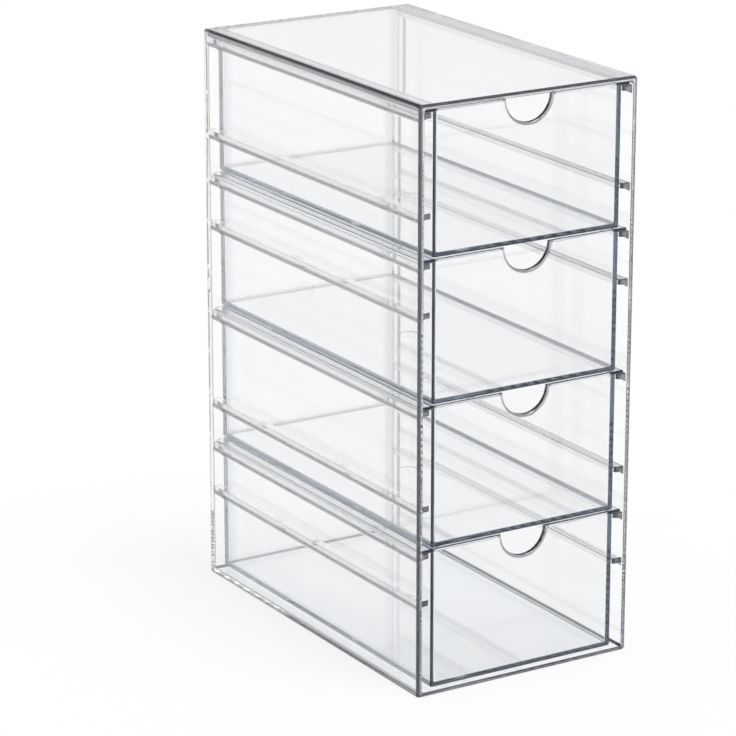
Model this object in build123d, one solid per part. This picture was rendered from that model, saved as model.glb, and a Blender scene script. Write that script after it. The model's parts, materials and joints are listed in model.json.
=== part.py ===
"""Clear drawer tower for make-up: one moulded casing and four hanging drawers.

Millimetres. +Z is up, +X is to the right of someone facing the drawers, and -Y
is the front, where the drawers pull out. The origin is the middle of the
casing's underside.

The casing is a box with an open front. Ribs moulded on the inner side walls
are the runners. Each drawer is a one-piece tray that hangs by a thin lip on
each side: the lip lies on a runner and the tray's body passes between them.
"""

from build123d import *
import os

# ---------------------------------------------------------------- casing sizes
CASE_WIDTH = 105.0       # outside, left to right
CASE_DEPTH = 175.0       # outside, front to back
CASE_HEIGHT = 250.0      # outside, as it stands
SIDE_WALL = 2.3          # left and right walls
DECK_WALL = 2.0          # top and bottom walls
BACK_WALL = 2.0
CASE_ROUND = 1.5         # outer long edges and back edges
CASE_INNER_ROUND = 1.2   # the same edges inside
RIM_BREAK = 1.2          # rounding of the front rim's outer edge
RIM_INNER_BREAK = 0.3    # rounding of the front rim's inner edge

# ---------------------------------------------------------------- runner sizes
RAIL_REACH = 4.2         # how far a runner stands out of the side wall
RAIL_THICKNESS = 2.3     # height of a runner
RAIL_ROOT_ROUND = 1.6    # hollow rounding between a runner's underside and the wall
RAIL_SETBACK = 1.0       # from the casing's front rim to the runner's end
RAIL_END_ROUND = 1.5     # plan rounding of the runner's front end
RAIL_EDGE_ROUND = 0.4    # rounding along the runner's upper free edge
SLIM_COUNT = 6           # runner pairs if the height is shared out for slimmer drawers

# ---------------------------------------------------------------- drawer sizes
DRAWER_COUNT = 4
DRAWER_WALL = 1.8
DRAWER_FLOOR = 1.7
DRAWER_ROUND = 1.0       # outer upright corners and bottom edges
DRAWER_CORNER_ROUND = 3.2  # inner upright corners at the back
DRAWER_INNER_ROUND = 0.8   # inside, between the floor and the side and back walls
FRONT_INNER_ROUND = 0.4    # inside, all round the back of the front wall
DRAWER_RIM_BREAK = 0.3   # rounding along the drawer's top edges
FRONT_RIM_ROUND = 1.0    # the same along the front's outer top edge
LIP_THICKNESS = 1.2
LIP_FRONT_ROUND = 1.0    # plan rounding of the lip's front corner
LIP_BACK_ROUND = 3.0     # plan rounding of the lip's back corner
NOTCH_RADIUS = 10.7      # finger notch, centred on the front's top edge
NOTCH_FRONT_ROUND = 1.7  # rounding of the notch's outer edge, where the finger goes in
NOTCH_BACK_BREAK = 0.2   # rounding of the notch's edge inside the drawer
NOTCH_LAND = 0.1         # least straight stretch between those two

# ---------------------------------------------------------------- gate marks
GATE_RADIUS = 4.2        # shallow round recess where the plastic was let in
GATE_DEPTH = 0.5
GATE_NUB_RADIUS = 0.9    # trimmed stub in the middle of the recess
GATE_NUB_HEIGHT = 0.3

# ---------------------------------------------------------------- clearances
TOP_GAP = 0.3            # casing's ceiling to the top drawer
FLOOR_GAP = 1.0          # lowest drawer to the casing's floor
DRAWER_GAP = 0.6         # drawer to the drawer below
RUNNING_GAP = 0.1        # lip to the runner that carries it
RAIL_SIDE_GAP = 0.8      # runner's free edge to the tray's side
LIP_SIDE_GAP = 0.8       # lip to the casing's side wall
FRONT_RECESS = 1.0       # drawer front behind the casing's rim
REAR_GAP = 0.4           # drawer back to the casing's back wall

FUSE_DEPTH = 0.5         # how far a rib is carried into its wall, to join it
CUT_SPARE = 1.0          # how far a cutting shape runs past the wall it cuts

# ---------------------------------------------------------------- worked out
case_front_y = -CASE_DEPTH / 2
case_back_y = CASE_DEPTH / 2
inner_x = CASE_WIDTH / 2 - SIDE_WALL
inner_back_y = case_back_y - BACK_WALL
floor_z = DECK_WALL
ceiling_z = CASE_HEIGHT - DECK_WALL

drawer_room = ceiling_z - floor_z - TOP_GAP - FLOOR_GAP + DRAWER_GAP
drawer_pitch = drawer_room / DRAWER_COUNT
slim_pitch = drawer_room / SLIM_COUNT
drawer_height = drawer_pitch - DRAWER_GAP

rail_tip_x = inner_x - RAIL_REACH
rail_front_y = case_front_y + RAIL_SETBACK
top_rail_z = ceiling_z - TOP_GAP - LIP_THICKNESS - RUNNING_GAP

drawer_half = rail_tip_x - RAIL_SIDE_GAP
lip_edge_x = inner_x - LIP_SIDE_GAP
drawer_front_y = case_front_y + FRONT_RECESS
drawer_back_y = inner_back_y - REAR_GAP


def block(x_low, x_high, y_low, y_high, z_low, z_high):
    """A box between two corners."""
    size = (x_high - x_low, y_high - y_low, z_high - z_low)
    middle = ((x_low + x_high) / 2, (y_low + y_high) / 2, (z_low + z_high) / 2)
    return Pos(*middle) * Box(*size)


def edges_at(solid, axis, place):
    """The solid's straight or curved edges that lie wholly at one place on an axis."""
    tolerance = 1e-3
    return solid.edges().filter_by_position(axis, place - tolerance, place + tolerance)


def rail_heights():
    """Top faces of the runners: one pair for each drawer, and those of the slim layout."""
    heights = [top_rail_z - index * drawer_pitch for index in range(DRAWER_COUNT)]
    for index in range(SLIM_COUNT):
        height = top_rail_z - index * slim_pitch
        if all(abs(height - used) > 2 * RAIL_THICKNESS for used in heights):
            heights.append(height)
    return heights


def right_rail(top_z):
    """One runner on the right wall: flat on top, with a hollow rounding under it."""
    under_z = top_z - RAIL_THICKNESS
    root_z = under_z - RAIL_ROOT_ROUND
    wall_x = inner_x + FUSE_DEPTH
    outline = Polyline(
        (inner_x, root_z), (wall_x, root_z), (wall_x, top_z),
        (rail_tip_x, top_z), (rail_tip_x, under_z), (inner_x - RAIL_ROOT_ROUND, under_z),
    )
    root_curve = CenterArc((inner_x - RAIL_ROOT_ROUND, root_z), RAIL_ROOT_ROUND, 0, 90)
    section = make_face(Plane.XZ * (outline + root_curve))
    length = inner_back_y + FUSE_DEPTH - rail_front_y
    bar = Pos(0, rail_front_y, 0) * extrude(section, amount=-length)
    end_edge = edges_at(bar, Axis.X, rail_tip_x).filter_by(Axis.Z).sort_by(Axis.Y)[0]
    bar = fillet(end_edge, RAIL_END_ROUND)
    top_edge = edges_at(bar, Axis.X, rail_tip_x).filter_by(Axis.Y).sort_by(Axis.Z)[-1]
    return fillet(top_edge, RAIL_EDGE_ROUND)


def gate_mark(facing):
    """The recess to cut at a moulding gate, with its stub left standing, on a plane that faces out."""
    recess = extrude(facing * Circle(GATE_RADIUS), amount=-GATE_DEPTH)
    stub = extrude(facing.offset(-GATE_DEPTH) * Circle(GATE_NUB_RADIUS), amount=GATE_NUB_HEIGHT)
    return recess - stub


def make_casing():
    """Open-fronted box with its runners, in one piece."""
    outer = block(-CASE_WIDTH / 2, CASE_WIDTH / 2, case_front_y, case_back_y, 0, CASE_HEIGHT)
    outer = fillet(outer.edges().filter_by(Axis.Y) + edges_at(outer, Axis.Y, case_back_y), CASE_ROUND)
    outer = fillet(edges_at(outer, Axis.Y, case_front_y), RIM_BREAK)

    mouth_y = case_front_y - CASE_DEPTH / 2
    hollow = block(-inner_x, inner_x, mouth_y, inner_back_y, floor_z, ceiling_z)
    hollow = fillet(hollow.edges().filter_by(Axis.Y) + edges_at(hollow, Axis.Y, inner_back_y), CASE_INNER_ROUND)
    casing = outer - hollow
    rim = casing.faces().sort_by(Axis.Y)[0]
    casing = fillet(rim.inner_wires()[0].edges(), RIM_INNER_BREAK)

    for top_z in rail_heights():
        rail = right_rail(top_z)
        casing = casing + rail + mirror(rail, Plane.YZ)

    back_middle = Plane(origin=(0, case_back_y, CASE_HEIGHT / 2), x_dir=(1, 0, 0), z_dir=(0, 1, 0))
    return casing - gate_mark(back_middle)


def front_rim_cutter(top_z):
    """What the rounding along the front's outer top edge takes away, lips included."""
    round_y = drawer_front_y + FRONT_RIM_ROUND
    round_z = top_z - FRONT_RIM_ROUND
    outline = Polyline(
        (round_y, top_z), (round_y, top_z + CUT_SPARE), (drawer_front_y - CUT_SPARE, top_z + CUT_SPARE),
        (drawer_front_y - CUT_SPARE, round_z), (drawer_front_y, round_z),
    )
    rim_curve = CenterArc((round_y, round_z), FRONT_RIM_ROUND, 90, 90)
    section = make_face(Plane.YZ * (outline + rim_curve))
    return extrude(section, amount=lip_edge_x + CUT_SPARE, both=True)


def notch_cutter(top_z):
    """A round plug through the front wall's top edge that widens at both faces of the wall."""
    back_y = drawer_front_y + DRAWER_WALL
    front_round = min(NOTCH_FRONT_ROUND, DRAWER_WALL - NOTCH_BACK_BREAK - NOTCH_LAND)
    front_radius = NOTCH_RADIUS + front_round
    back_radius = NOTCH_RADIUS + NOTCH_BACK_BREAK
    land_front_y = drawer_front_y + front_round
    land_back_y = back_y - NOTCH_BACK_BREAK
    outline = Polyline(
        (back_radius, back_y), (back_radius, back_y + CUT_SPARE), (0, back_y + CUT_SPARE),
        (0, drawer_front_y - CUT_SPARE), (front_radius, drawer_front_y - CUT_SPARE), (front_radius, drawer_front_y),
    )
    front_curve = CenterArc((front_radius, land_front_y), front_round, 180, 90)
    land = Line((NOTCH_RADIUS, land_front_y), (NOTCH_RADIUS, land_back_y))
    back_curve = CenterArc((back_radius, land_back_y), NOTCH_BACK_BREAK, 90, 90)
    section = make_face(outline + front_curve + land + back_curve)
    return Pos(0, 0, top_z) * revolve(section, Axis.Y)


def make_drawer(index):
    """Drawer number index, counted from the top, pushed home: a tray with a lip on each side."""
    top_z = ceiling_z - TOP_GAP - index * drawer_pitch
    bottom_z = top_z - drawer_height
    lip_z = top_z - LIP_THICKNESS

    tray = block(-drawer_half, drawer_half, drawer_front_y, drawer_back_y, bottom_z, top_z)
    tray = fillet(tray.edges().filter_by(Axis.Z) + edges_at(tray, Axis.Z, bottom_z), DRAWER_ROUND)

    lips = block(-lip_edge_x, lip_edge_x, drawer_front_y, drawer_back_y, lip_z, top_z)
    lips = fillet(lips.edges().filter_by(Axis.Z).sort_by(Axis.Y)[:2], LIP_FRONT_ROUND)
    lips = fillet(lips.edges().filter_by(Axis.Z).sort_by(Axis.Y)[-2:], LIP_BACK_ROUND)
    drawer = tray + lips

    hollow_front_y = drawer_front_y + DRAWER_WALL
    hollow_floor_z = bottom_z + DRAWER_FLOOR
    hollow = block(
        -drawer_half + DRAWER_WALL, drawer_half - DRAWER_WALL,
        hollow_front_y, drawer_back_y - DRAWER_WALL,
        hollow_floor_z, top_z + drawer_height,
    )
    hollow = fillet(hollow.edges().filter_by(Axis.Z).sort_by(Axis.Y)[-2:], DRAWER_CORNER_ROUND)
    hollow = fillet(edges_at(hollow, Axis.Z, hollow_floor_z).sort_by(Axis.Y)[1:], DRAWER_INNER_ROUND)
    hollow = fillet(edges_at(hollow, Axis.Y, hollow_front_y), FRONT_INNER_ROUND)
    drawer = drawer - hollow
    drawer = fillet(drawer.faces().sort_by(Axis.Z)[-1].edges(), DRAWER_RIM_BREAK)
    drawer = drawer - front_rim_cutter(top_z) - notch_cutter(top_z)

    middle_y = (drawer_front_y + drawer_back_y) / 2
    underside = Plane(origin=(0, middle_y, bottom_z), x_dir=(1, 0, 0), z_dir=(0, 0, -1))
    return drawer - gate_mark(underside)


def main():
    os.makedirs("parts", exist_ok=True)
    nodes = {"casing": make_casing()}
    for index in range(DRAWER_COUNT):
        nodes[f"drawer_{index + 1}"] = make_drawer(index)
    for name, solid in nodes.items():
        export_step(solid, f"parts/{name}.step")
        box = solid.bounding_box()
        print(f"{name}: {box.size.X:.2f} x {box.size.Y:.2f} x {box.size.Z:.2f}, volume {solid.volume:.1f}")


main()
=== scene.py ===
# %% [markdown]
# # A clear drawer tower in a white studio
#
# The object is a tall box of clear moulded plastic, open at the front, with four
# clear trays hanging inside it on runners. Nothing on it has a colour of its own.
# What the eye reads is where the walls begin and end: a dark line along each
# rounded edge, a faint grey wherever several walls lie behind each other, and a
# little gloss. So this lesson is about clear plastic, and about what it is given
# to look at.
#
# The shapes come from the frame, which is fixed, and this script adds the finish,
# the studio and the camera.

# %% Load the frame
import bpy
import json
import math
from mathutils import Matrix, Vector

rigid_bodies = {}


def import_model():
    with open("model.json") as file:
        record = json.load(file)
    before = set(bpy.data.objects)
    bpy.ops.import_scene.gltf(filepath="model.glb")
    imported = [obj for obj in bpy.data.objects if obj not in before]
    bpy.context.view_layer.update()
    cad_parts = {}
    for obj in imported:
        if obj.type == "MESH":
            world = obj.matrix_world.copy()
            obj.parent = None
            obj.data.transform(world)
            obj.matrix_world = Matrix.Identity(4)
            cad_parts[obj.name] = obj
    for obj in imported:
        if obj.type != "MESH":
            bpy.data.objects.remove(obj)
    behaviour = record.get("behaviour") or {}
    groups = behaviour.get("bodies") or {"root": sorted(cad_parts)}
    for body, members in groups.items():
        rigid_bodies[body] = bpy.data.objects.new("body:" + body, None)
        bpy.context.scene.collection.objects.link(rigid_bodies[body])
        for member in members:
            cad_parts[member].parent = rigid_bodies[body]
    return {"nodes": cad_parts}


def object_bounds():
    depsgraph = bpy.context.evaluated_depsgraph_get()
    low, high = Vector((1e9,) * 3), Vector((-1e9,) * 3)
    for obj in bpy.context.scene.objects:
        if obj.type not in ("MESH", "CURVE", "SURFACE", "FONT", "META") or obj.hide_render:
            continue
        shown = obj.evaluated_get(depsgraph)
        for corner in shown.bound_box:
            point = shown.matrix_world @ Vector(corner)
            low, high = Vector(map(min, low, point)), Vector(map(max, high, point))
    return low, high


for leftover in list(bpy.data.objects):
    bpy.data.objects.remove(leftover)

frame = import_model()
cad_low, cad_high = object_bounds()
nodes = frame["nodes"]
scene = bpy.context.scene
size = cad_high - cad_low
print("frame:", ", ".join(sorted(nodes)), "size", [round(side, 4) for side in size])

# %% [markdown]
# ## Shader maths that reads like maths
#
# A material is a graph of nodes. Wiring it by hand hides the sum that it works
# out, so a small class wraps a socket: adding or multiplying two wrapped sockets
# adds the Math node. Colours and vectors have nodes of their own, because a Math
# node keeps one number only.


# %% A socket that can be added and multiplied
class Value:
    """An output socket of a node tree, on which + - * and a few methods build Math nodes."""

    def __init__(self, tree, socket):
        self.tree = tree
        self.socket = socket

    def _maths(self, operation, first, second, clamp=False):
        settings = {"operation": operation, "use_clamp": clamp}
        return self.tree.add("ShaderNodeMath", settings, {0: first, 1: second}).out(0)

    def __add__(self, other):
        return self._maths("ADD", self, other)

    __radd__ = __add__

    def __mul__(self, other):
        return self._maths("MULTIPLY", self, other)

    __rmul__ = __mul__

    def __sub__(self, other):
        return self._maths("SUBTRACT", self, other)

    def __rsub__(self, other):
        return self._maths("SUBTRACT", other, self)

    def size(self):
        """The number without its sign."""
        return self._maths("ABSOLUTE", self, 0.0)

    def or_larger(self, other):
        """The larger of the two numbers."""
        return self._maths("MAXIMUM", self, other)

    def held(self):
        """The number kept between 0 and 1."""
        return self._maths("ADD", self, 0.0, clamp=True)


# %% A node and a tree of nodes
class Node:
    """One node of a tree, with its outputs as Values."""

    def __init__(self, tree, made):
        self.tree = tree
        self.made = made

    def out(self, key):
        return Value(self.tree, self.made.outputs[key])


class Tree:
    """A node tree that is being written. add() makes any node: settings first, then what goes in."""

    def __init__(self, owner):
        owner.use_nodes = True
        self.nodes = owner.node_tree.nodes
        self.links = owner.node_tree.links
        self.nodes.clear()

    def add(self, kind, settings=None, inputs=None):
        made = self.nodes.new(kind)
        for name, setting in (settings or {}).items():
            if name == "stops":
                self._set_stops(made.color_ramp, setting)
            else:
                setattr(made, name, setting)
        for key, given in (inputs or {}).items():
            if isinstance(given, Value):
                self.links.new(given.socket, made.inputs[key])
            else:
                made.inputs[key].default_value = given
        return Node(self, made)

    @staticmethod
    def _set_stops(ramp, stops):
        while len(ramp.elements) < len(stops):
            ramp.elements.new(1.0)
        for element, (place, colour) in zip(ramp.elements, stops):
            element.position = place
            element.color = (*colour, 1)


# %% [markdown]
# ## Finding the edges, and painting shade on them
#
# On clear plastic the rounded edges are what draws the object. A rounding bends
# light so hard that the eye sees something far off to the side through it, which
# in a room is darker than the white table, so each edge reads as a dark line.
# A white studio has little that is dark to bend into view, and most edges would
# vanish. Dark cards around the object would bring some back, but only for one
# camera. So a mask finds the edges on the object itself, and shade is painted on
# them: the base colour is darkened there, as painted shade that stands in for the
# dark surroundings a rounding would bend into view.
#
# The walls of this object all face along an axis, and only a rounding faces in
# between. On a wall the largest part of the facing direction is 1, and in the
# middle of a rounding it is 0.7. That finds every rounding by its shape.
#
# Place then says how much shade is painted on each one. In the photograph the front
# edges and the edges on the table are the darkest, and those at the back are faint.
# So each plastic gets its full painted shade only in front of one line and near the
# table, where it also stands in for contact shade, and a share of it elsewhere. A
# drawer's frame gets the most painted shade down its sides and along its foot,
# while its top edge stays light and the finger notch is a painted grey crescent.
#
# A few flat faces get painted shade as well: a narrow line down the outside of the
# casing's rim, the foot of the upright walls at the table as painted contact shade,
# and the blunt ends of the runners, whose tips are painted slightly grey.


# %% A soft step
STEP_SOFTNESS = 0.0003   # how far above its limit a step is complete


def past(value, limit):
    """0 below a limit and 1 above it, with a short soft step between."""
    return ((value - limit) * (1 / STEP_SOFTNESS)).held()


# %% Where a point lies, and which way it faces
FACING_GAIN = 5.0        # how soon a tilt counts as facing that way
EDGE_TABLE_Z = 0.0018    # metres, top of the foot at the table that gets painted contact shade


class Spot:
    """A point of the surface, as numbers that the masks below are made of."""

    def __init__(self, tree, look):
        texture = tree.add("ShaderNodeTexCoord")
        facing = tree.add("ShaderNodeSeparateXYZ", None, {0: texture.out("Normal")})
        place = tree.add("ShaderNodeSeparateXYZ", None, {0: texture.out("Object")})
        self.across = facing.out(0)
        self.along = facing.out(1)
        self.up = facing.out(2)
        self.upright = 1 - (self.up.size() * FACING_GAIN).held()
        self.sideways = place.out(0).size()
        self.depth = place.out(1)
        self.in_front = 1 - past(self.depth, look["edge_front_y"])
        # the strip near the table, where shade is painted to stand in for contact shade
        self.at_table = 1 - past(place.out(2), EDGE_TABLE_Z)


# %% The roundings, with painted shade
EDGE_GAIN = 36.0         # how soon a rounding counts as an edge
TURNED_FACING = 0.80     # how far a front rounding has turned sideways before its painted shade fades
NOTCH_REACH_X = 0.0126   # half of the finger notch's width, with its rounding
# how much painted shade the finger notch's rounding gets, a grey crescent
NOTCH_SHARE = 0.72


def rounded_edge(spot, look):
    """Painted shade: 1 in the middle of a front or bottom rounding, a share in that of others, 0 on
    a flat face.
    """
    largest = spot.across.size().or_larger(spot.along.size()).or_larger(spot.up.size())
    rounding = ((1 - largest) * EDGE_GAIN).held()
    at_side = past(spot.sideways, look["edge_side_x"]) * look["side_share"]
    in_notch = (1 - past(spot.sideways, NOTCH_REACH_X)) * NOTCH_SHARE
    downward = (spot.up * -FACING_GAIN).held()
    front_share = spot.in_front * at_side.or_larger(downward).or_larger(in_notch)
    full = front_share.or_larger(spot.at_table)
    share = look["edge_share"] + full * (1 - look["edge_share"])
    turned_away = past(spot.across.size(), TURNED_FACING) * spot.upright * spot.in_front
    return rounding * share * (1 - turned_away * look["side_ease"])


# %% The flat faces with painted shade
RIM_DEPTH_Y = -0.0870    # metres, just behind the casing's rim, in front of the runners' ends
RIM_LINE_X = 0.0508      # where the painted shade line down the outside of the rim begins
TIP_FACING = 0.9         # how squarely a face looks sideways before it counts as a tip
TIP_FROM_X = 0.0440      # the runners' tips lie between these two
TIP_TO_X = 0.0465


def painted_rim_shade(spot):
    """Painted shade: 1 on the outer part of the casing's rim."""
    return (1 - past(spot.depth, RIM_DEPTH_Y)) * past(spot.sideways, RIM_LINE_X)


def painted_end_shade(spot):
    """Painted shade: 1 on a face behind the rim that looks forward, such as a runner's end."""
    return (spot.along * -FACING_GAIN).held() * past(spot.depth, RIM_DEPTH_Y) * spot.in_front


def painted_tip_shade(spot):
    """Painted shade: 1 on a face that looks sideways between the drawers and the casing's walls."""
    outer_limit = 1 - past(spot.sideways, TIP_TO_X)
    return past(spot.across.size(), TIP_FACING) * past(spot.sideways, TIP_FROM_X) * outer_limit


# %% One mask of all the painted shade
PAINTED_FOOT_SHADE = 0.95        # how much painted contact shade the upright faces get at the table


def edge_mask(tree, look):
    """How much shade is painted on a point, from 0 on a bare wall to 1 along the darkest edges."""
    spot = Spot(tree, look)
    edge = rounded_edge(spot, look)
    edge = edge.or_larger(painted_rim_shade(spot) * look["rim_share"])
    edge = edge.or_larger(painted_end_shade(spot) * look["end_share"])
    edge = edge.or_larger(spot.at_table * spot.upright * PAINTED_FOOT_SHADE)
    return edge.or_larger(painted_tip_shade(spot) * look["tip_share"])


# %% [markdown]
# ## The clear plastic
#
# A wall of clear plastic is a solid, so light bends as it goes in and again as it
# comes out, and it is weakened a little at each millimetre between. Across 2 mm
# that is hardly seen. Light that is caught inside a wall and runs along it for the
# whole depth of a drawer is nearly gone, and that gives the narrow dark bands at
# the drawers' upright edges. So the tint is put inside the walls, as absorption.
# The drawers have more of it than the casing, whose rim stays white between its
# lines.
#
# A real moulding isn't quite even. Slow waves and a fine grain go into a very
# faint bump, the grain also into the roughness, and the waves into the tint as
# clouds that are only just there. More of any of them would look like frost.
#
# Lamps are let straight through by a plain see-through shader that only shadow
# rays and soft bounces meet. Without it the box would throw a solid shadow.

# %% What all the plastic shares
PLASTIC_IOR = 1.53
SHADOW_TINT = (0.999, 0.999, 0.999, 1)   # what one surface lets through to a lamp
WALL_CLEAR = (0.998, 0.999, 1.0, 1)
WALL_CLOUDED = (0.988, 0.990, 0.993, 1)
WAVE_SCALE = 22.0                        # slow waves of a moulded wall, about 45 mm long
WAVE_DETAIL = 1.0
GRAIN_SCALE = 140.0                      # fine unevenness, about 7 mm long
GRAIN_DETAIL = 2.0
GRAIN_SHARE = 0.05                       # how much of the bump is grain
GRAIN_SEED_GAP = 3.0                     # keeps the grain from following the waves
BUMP_STRENGTH = 0.06
BUMP_HEIGHT = 0.0006                     # metres
SMOOTHEST = 0.004                        # roughness without any grain
GRAIN_ROUGHNESS = 0.010                  # what the grain adds to it

# %% What tells the casing from the drawers
CASING_LOOK = {
    "edge": (0.020, 0.024, 0.032, 1),    # the colour of the painted edge shade
    "edge_front_y": -0.0848,             # the full painted shade lies in front of this
    "edge_side_x": -1.0,                 # and further out than this, here all the way across
    "side_share": 1.0,                   # how much painted shade the front uprights get
    "edge_share": 0.80,                  # how much painted shade the other roundings get
    "side_ease": 0.90,                   # how much the painted shade on a front rounding fades as it turns sideways
    # shares of painted shade on the rim's outer line, the runners' blunt ends and their tips
    "rim_share": 0.78,
    "end_share": 0.92,
    "tip_share": 0.30,
    "absorbed": (0.30, 0.36, 0.40, 1),
    "density": 0.9,
}
DRAWER_LOOK = {
    # the colour of the drawers' painted edge shade
    "edge": (0.008, 0.012, 0.020, 1),
    "edge_front_y": -0.0852,
    "edge_side_x": 0.0430,
    "side_share": 0.72,
    "edge_share": 0.20,
    "side_ease": 0.0,
    "rim_share": 0.0,
    "end_share": 0.0,
    "tip_share": 0.0,
    "absorbed": (0.08, 0.20, 0.32, 1),
    "density": 12.0,
}


# %% Noise, and a mix of two colours
def noise(tree, seed, scale, detail):
    """Smooth noise between 0 and 1 that stays with the piece."""
    place = tree.add("ShaderNodeTexCoord").out("Object")
    inputs = {"Vector": place, "W": seed, "Scale": scale, "Detail": detail}
    return tree.add("ShaderNodeTexNoise", {"noise_dimensions": "4D"}, inputs).out(0)


MIX_FIRST = 6            # a Mix node's colour sockets come after those for numbers and vectors
MIX_SECOND = 7
MIX_RESULT = 2


def mixed_colour(tree, share, first, second):
    """The first colour where share is 0, and the second where it is 1."""
    inputs = {0: share, MIX_FIRST: first, MIX_SECOND: second}
    return tree.add("ShaderNodeMix", {"data_type": "RGBA"}, inputs).out(MIX_RESULT)


# %% The material
def clear_plastic(name, look, seed):
    """Clear moulded plastic: nearly smooth, with slow waves, faint clouds and painted shade along
    the edges.
    """
    material = bpy.data.materials.new(name)
    tree = Tree(material)
    wave = noise(tree, seed, WAVE_SCALE, WAVE_DETAIL)
    grain = noise(tree, seed + GRAIN_SEED_GAP, GRAIN_SCALE, GRAIN_DETAIL)
    height = wave + grain * GRAIN_SHARE
    bump = tree.add("ShaderNodeBump", None,
                    {"Strength": BUMP_STRENGTH, "Distance": BUMP_HEIGHT, "Height": height}).out(0)
    wall = mixed_colour(tree, wave, WALL_CLOUDED, WALL_CLEAR)
    # the wall colour, darkened by painted shade along the edges
    wall_and_painted_shade = mixed_colour(tree, edge_mask(tree, look), wall, look["edge"])
    shader = tree.add("ShaderNodeBsdfPrincipled", None, {
        "Base Color": wall_and_painted_shade, "Roughness": SMOOTHEST + grain * GRAIN_ROUGHNESS, "Normal": bump,
        "IOR": PLASTIC_IOR, "Transmission Weight": 1.0,
    }).out(0)
    straight = tree.add("ShaderNodeBsdfTransparent", None, {"Color": SHADOW_TINT}).out(0)
    path = tree.add("ShaderNodeLightPath")
    passing = path.out("Is Shadow Ray").or_larger(path.out("Is Diffuse Ray"))
    surface = tree.add("ShaderNodeMixShader", None, {0: passing, 1: shader, 2: straight}).out(0)
    inside = tree.add("ShaderNodeVolumeAbsorption", None,
                      {"Color": look["absorbed"], "Density": look["density"]}).out(0)
    tree.add("ShaderNodeOutputMaterial", None, {"Surface": surface, "Volume": inside})
    return material


# %% Dress the casing and the drawers
SEED_STEP = 1.7                          # gives each piece waves of its own

for number, (name, node) in enumerate(sorted(nodes.items())):
    look = CASING_LOOK if name == "casing" else DRAWER_LOOK
    node.data.materials[0] = clear_plastic("plastic_" + name, look, SEED_STEP * number)
    print("dressed", name)

# %% [markdown]
# ## Studio
#
# A white floor runs back until it meets a white world, so there is no horizon.
# The camera itself sees a plain white world. Rays that have met the plastic see a
# sky instead: nearly white up to about 21 degrees, a dark belt from 25 to 37, and
# pale again above about 51. A line of sight straight through the box points down
# at the floor, so the panels stay white, and only roundings and glancing
# reflections pick the belt up. A sky that stayed dark above it would turn the flat
# top and the drawers' floors grey as soon as they are seen from above.
#
# What lights the floor is plainer: an even world and one broad lamp overhead,
# whose sum shows a white surface as just about white.

# %% The floor
WHITE = (1.0, 1.0, 1.0, 1)
FLOOR_HALF = 30.0
FLOOR_DROP = 0.0003      # just under the casing, so that the two faces don't share a place
FLOOR_CORNERS = ((-1, -1), (1, -1), (1, 1), (-1, 1))


def lay_floor():
    """A large white square under the object."""
    corners = [(x * FLOOR_HALF, y * FLOOR_HALF, -FLOOR_DROP) for x, y in FLOOR_CORNERS]
    mesh = bpy.data.meshes.new("floor")
    mesh.from_pydata(corners, [], [(0, 1, 2, 3)])
    material = bpy.data.materials.new("white_floor")
    tree = Tree(material)
    shader = tree.add("ShaderNodeBsdfDiffuse", None, {"Color": WHITE}).out(0)
    tree.add("ShaderNodeOutputMaterial", None, {"Surface": shader})
    mesh.materials.append(material)
    floor = bpy.data.objects.new("floor", mesh)
    scene.collection.objects.link(floor)
    return floor


lay_floor()
print("floor:", FLOOR_HALF * 2, "m across")

# %% The world
SKY_STOPS = [                            # (upward part of the direction, colour)
    (0.20, (0.86, 0.86, 0.87)),
    (0.36, (0.96, 0.96, 0.96)),
    (0.43, (0.020, 0.032, 0.052)),
    (0.60, (0.020, 0.032, 0.052)),
    (0.78, (0.80, 0.81, 0.82)),
]
WORLD_STRENGTH = 0.6


def background(tree, colour, strength):
    """Light of one colour from all around."""
    return tree.add("ShaderNodeBackground", None, {"Color": colour, "Strength": strength}).out(0)


def make_world():
    """White for the camera, a sky with a dark belt for plastic, and an even light for all else."""
    world = bpy.data.worlds.new("studio")
    tree = Tree(world)
    direction = tree.add("ShaderNodeTexCoord").out("Generated")
    upward = tree.add("ShaderNodeSeparateXYZ", None, {0: direction}).out(2)
    sky = tree.add("ShaderNodeValToRGB", {"stops": SKY_STOPS}, {0: upward}).out(0)
    path = tree.add("ShaderNodeLightPath")
    through_plastic = path.out("Is Glossy Ray").or_larger(path.out("Is Transmission Ray"))
    lit = background(tree, WHITE, WORLD_STRENGTH)
    seen = background(tree, sky, 1.0)
    white = background(tree, WHITE, 1.0)
    both = tree.add("ShaderNodeMixShader", None, {0: through_plastic, 1: lit, 2: seen}).out(0)
    inputs = {0: path.out("Is Camera Ray"), 1: both, 2: white}
    shown = tree.add("ShaderNodeMixShader", None, inputs).out(0)
    tree.add("ShaderNodeOutputWorld", None, {"Surface": shown})
    return world


scene.world = make_world()
stop_angles = [round(math.degrees(math.asin(upward))) for upward, _ in SKY_STOPS]
print("sky stops at", stop_angles, "degrees up")

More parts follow.
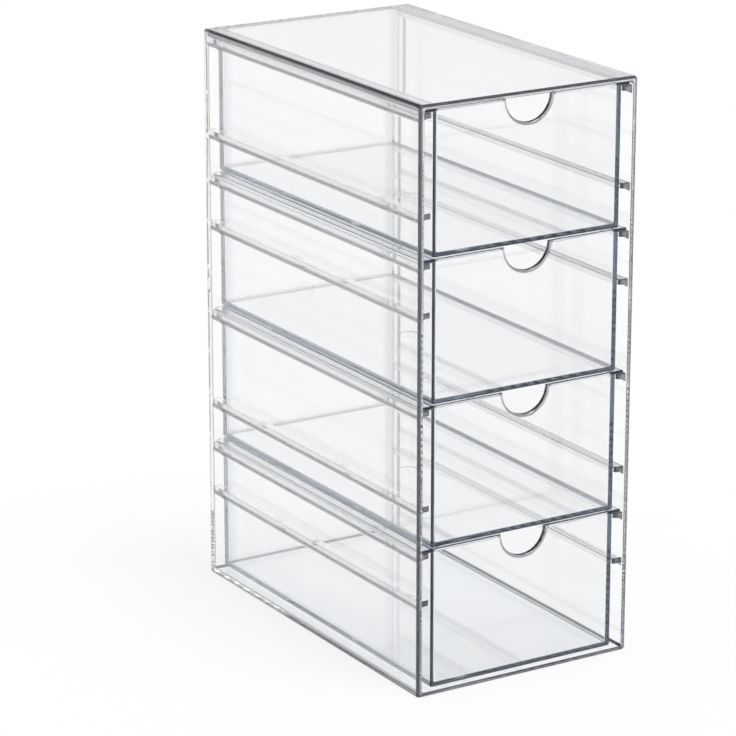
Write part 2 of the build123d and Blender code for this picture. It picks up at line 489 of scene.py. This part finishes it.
# %% The lamp
LAMP_WIDTH = math.radians(30)            # how broad the lamp looks from the table
LAMP_ENERGY = 1.40
LAMP_TURN = (math.radians(22), math.radians(14), 0)

lamp_data = bpy.data.lights.new("broad_lamp", "SUN")
lamp_data.angle = LAMP_WIDTH
lamp_data.energy = LAMP_ENERGY
lamp = bpy.data.objects.new("broad_lamp", lamp_data)
lamp.rotation_euler = LAMP_TURN
scene.collection.objects.link(lamp)
print("lamp:", LAMP_ENERGY, "W per square metre")

# %% [markdown]
# ## Camera
#
# The photograph looks at the left side and the front from a little above. Its
# upright edges stay parallel, as a shift lens keeps them. A shift that large would
# leave the object out of the other views, so the camera here tilts down instead,
# and stands far enough back that the uprights lean only slightly.

# %% The camera
CAMERA_PLACE = (-0.7672, -1.2124, 0.5574)
CAMERA_AZIMUTH = math.radians(-31.56)
CAMERA_ELEVATION = math.radians(17.28)
CAMERA_LENS = 170.8                      # millimetres
SENSOR_WIDTH = 36.0                      # millimetres
NEAREST = 0.05                           # metres, what is closer isn't drawn
FARTHEST = 100

camera_data = bpy.data.cameras.new("camera")
camera_data.lens = CAMERA_LENS
camera_data.sensor_width = SENSOR_WIDTH
camera_data.clip_start = NEAREST
camera_data.clip_end = FARTHEST
camera = bpy.data.objects.new("camera", camera_data)
camera.location = CAMERA_PLACE
camera.rotation_euler = (math.pi / 2 - CAMERA_ELEVATION, 0, CAMERA_AZIMUTH)
scene.collection.objects.link(camera)
scene.camera = camera
print("camera:", round(camera.location.length, 3), "m from the middle of the casing's foot")

# %% [markdown]
# ## How far a ray may go
#
# A ray that is caught in a wall bounces many times before it comes out. With few
# bounces allowed it would end in black, so the limits are raised.

# %% Light settings
BOUNCES = 96
THIN_LAYERS = 48                         # surfaces that a lamp's ray may pass straight through

scene.view_settings.view_transform = "Standard"
scene.cycles.max_bounces = BOUNCES
scene.cycles.transmission_bounces = BOUNCES
scene.cycles.glossy_bounces = BOUNCES
scene.cycles.transparent_max_bounces = THIN_LAYERS
print("bounces:", BOUNCES, "through", THIN_LAYERS, "thin layers")
